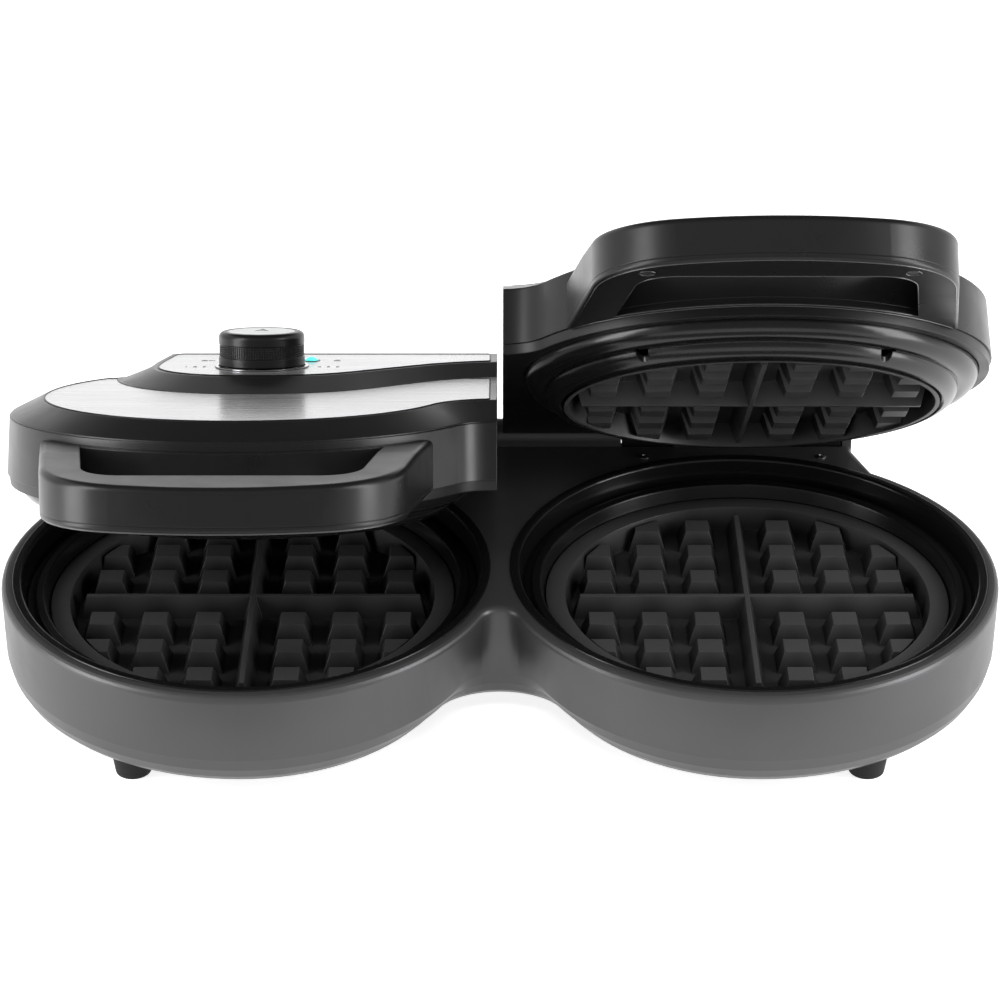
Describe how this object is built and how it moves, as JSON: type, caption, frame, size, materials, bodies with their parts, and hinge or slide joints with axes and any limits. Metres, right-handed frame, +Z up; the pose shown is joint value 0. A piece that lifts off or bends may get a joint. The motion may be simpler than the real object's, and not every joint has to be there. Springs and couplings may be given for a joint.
{
  "type": "belgian waffle maker",
  "caption": "Belgian waffle maker with round cooking stations side by side, each with a hinged lid, front handle, dial, steel panels and deep pegged plates.",
  "frame": {"origin": "centre of the bounding box in plan, on the table plane under the feet, with both lids as they stand open at rest", "axes": "+X to the appliance's right as seen from the handles, +Y to the hinge at the back, +Z up"},
  "size_m": [0.4728, 0.3176, 0.2829],
  "materials": {
    "housing": "satin dark grey metallic",
    "underside": "matt",
    "rubber": "matt",
    "screws": "zinc plated",
    "steel_rod": "polished",
    "plate_coating": "black non-stick coating",
    "gloss_black": "high gloss",
    "element": "heat-tinted",
    "reflector": "bright",
    "ceramic": "matt off-white",
    "brushed_panel": "brushed",
    "dial_chrome": "polished",
    "trim_light": "satin light grey",
    "lens": "translucent",
    "handle_black": "satin",
    "knob_black": "satin",
    "lid_black": "satin",
    "cover_black": "satin"
  },
  "bodies": {
    "base": {"base_screws": "screws", "base_shell": "housing", "bottom_cover": "underside", "cord_inlet": "rubber", "feet": "rubber", "left_hinge_pin": "steel_rod", "left_lower_element": "element", "left_lower_fuse": "ceramic", "left_lower_plate": "plate_coating", "left_lower_reflector": "reflector", "left_lower_screws": "screws", "left_moat_ring": "gloss_black", "right_hinge_pin": "steel_rod", "right_lower_element": "element", "right_lower_fuse": "ceramic", "right_lower_plate": "plate_coating", "right_lower_reflector": "reflector", "right_lower_screws": "screws", "right_moat_ring": "gloss_black", "terminal_block": "ceramic"},
    "left_lid": {"left_deck_panel": "brushed_panel", "left_dial_ring": "dial_chrome", "left_front_panel": "brushed_panel", "left_handle": "handle_black", "left_handle_base": "handle_black", "left_lid_screws": "screws", "left_ready_light": "lens", "left_splash_ring": "gloss_black", "left_thermostat": "ceramic", "left_under_cover": "cover_black", "left_upper_element": "element", "left_upper_plate": "plate_coating", "left_upper_reflector": "reflector", "left_upper_shell": "lid_black"},
    "right_lid": {"right_deck_panel": "brushed_panel", "right_dial_ring": "dial_chrome", "right_front_panel": "brushed_panel", "right_handle": "handle_black", "right_handle_base": "handle_black", "right_lid_screws": "screws", "right_ready_light": "lens", "right_splash_ring": "gloss_black", "right_thermostat": "ceramic", "right_under_cover": "cover_black", "right_upper_element": "element", "right_upper_plate": "plate_coating", "right_upper_reflector": "reflector", "right_upper_shell": "lid_black"},
    "left_knob": {"left_knob": "knob_black", "left_knob_cap": "trim_light", "left_spindle": "steel_rod"},
    "right_knob": {"right_knob": "knob_black", "right_knob_cap": "trim_light", "right_spindle": "steel_rod"}
  },
  "joints": [
    {"name": "left_lid_hinge", "type": "hinge", "parent": "base", "child": "left_lid", "pos_m": [-0.1179, 0.14019, 0.063], "axis": [-1, 0, 0], "range_deg": [-19.3, 80.7]},
    {"name": "right_lid_hinge", "type": "hinge", "parent": "base", "child": "right_lid", "pos_m": [0.1179, 0.14019, 0.063], "axis": [-1, 0, 0], "range_deg": [-40, 60]},
    {"name": "left_knob_turn", "type": "hinge", "parent": "left_lid", "child": "left_knob", "pos_m": [-0.1162, 0.0901, 0.12568], "axis": [0, 0.3305, 0.9438], "range_deg": [-135, 135]},
    {"name": "right_knob_turn", "type": "hinge", "parent": "right_lid", "child": "right_knob", "pos_m": [0.1162, 0.11549, 0.13934], "axis": [0, 0.6428, 0.766], "range_deg": [-135, 135]}
  ]
}
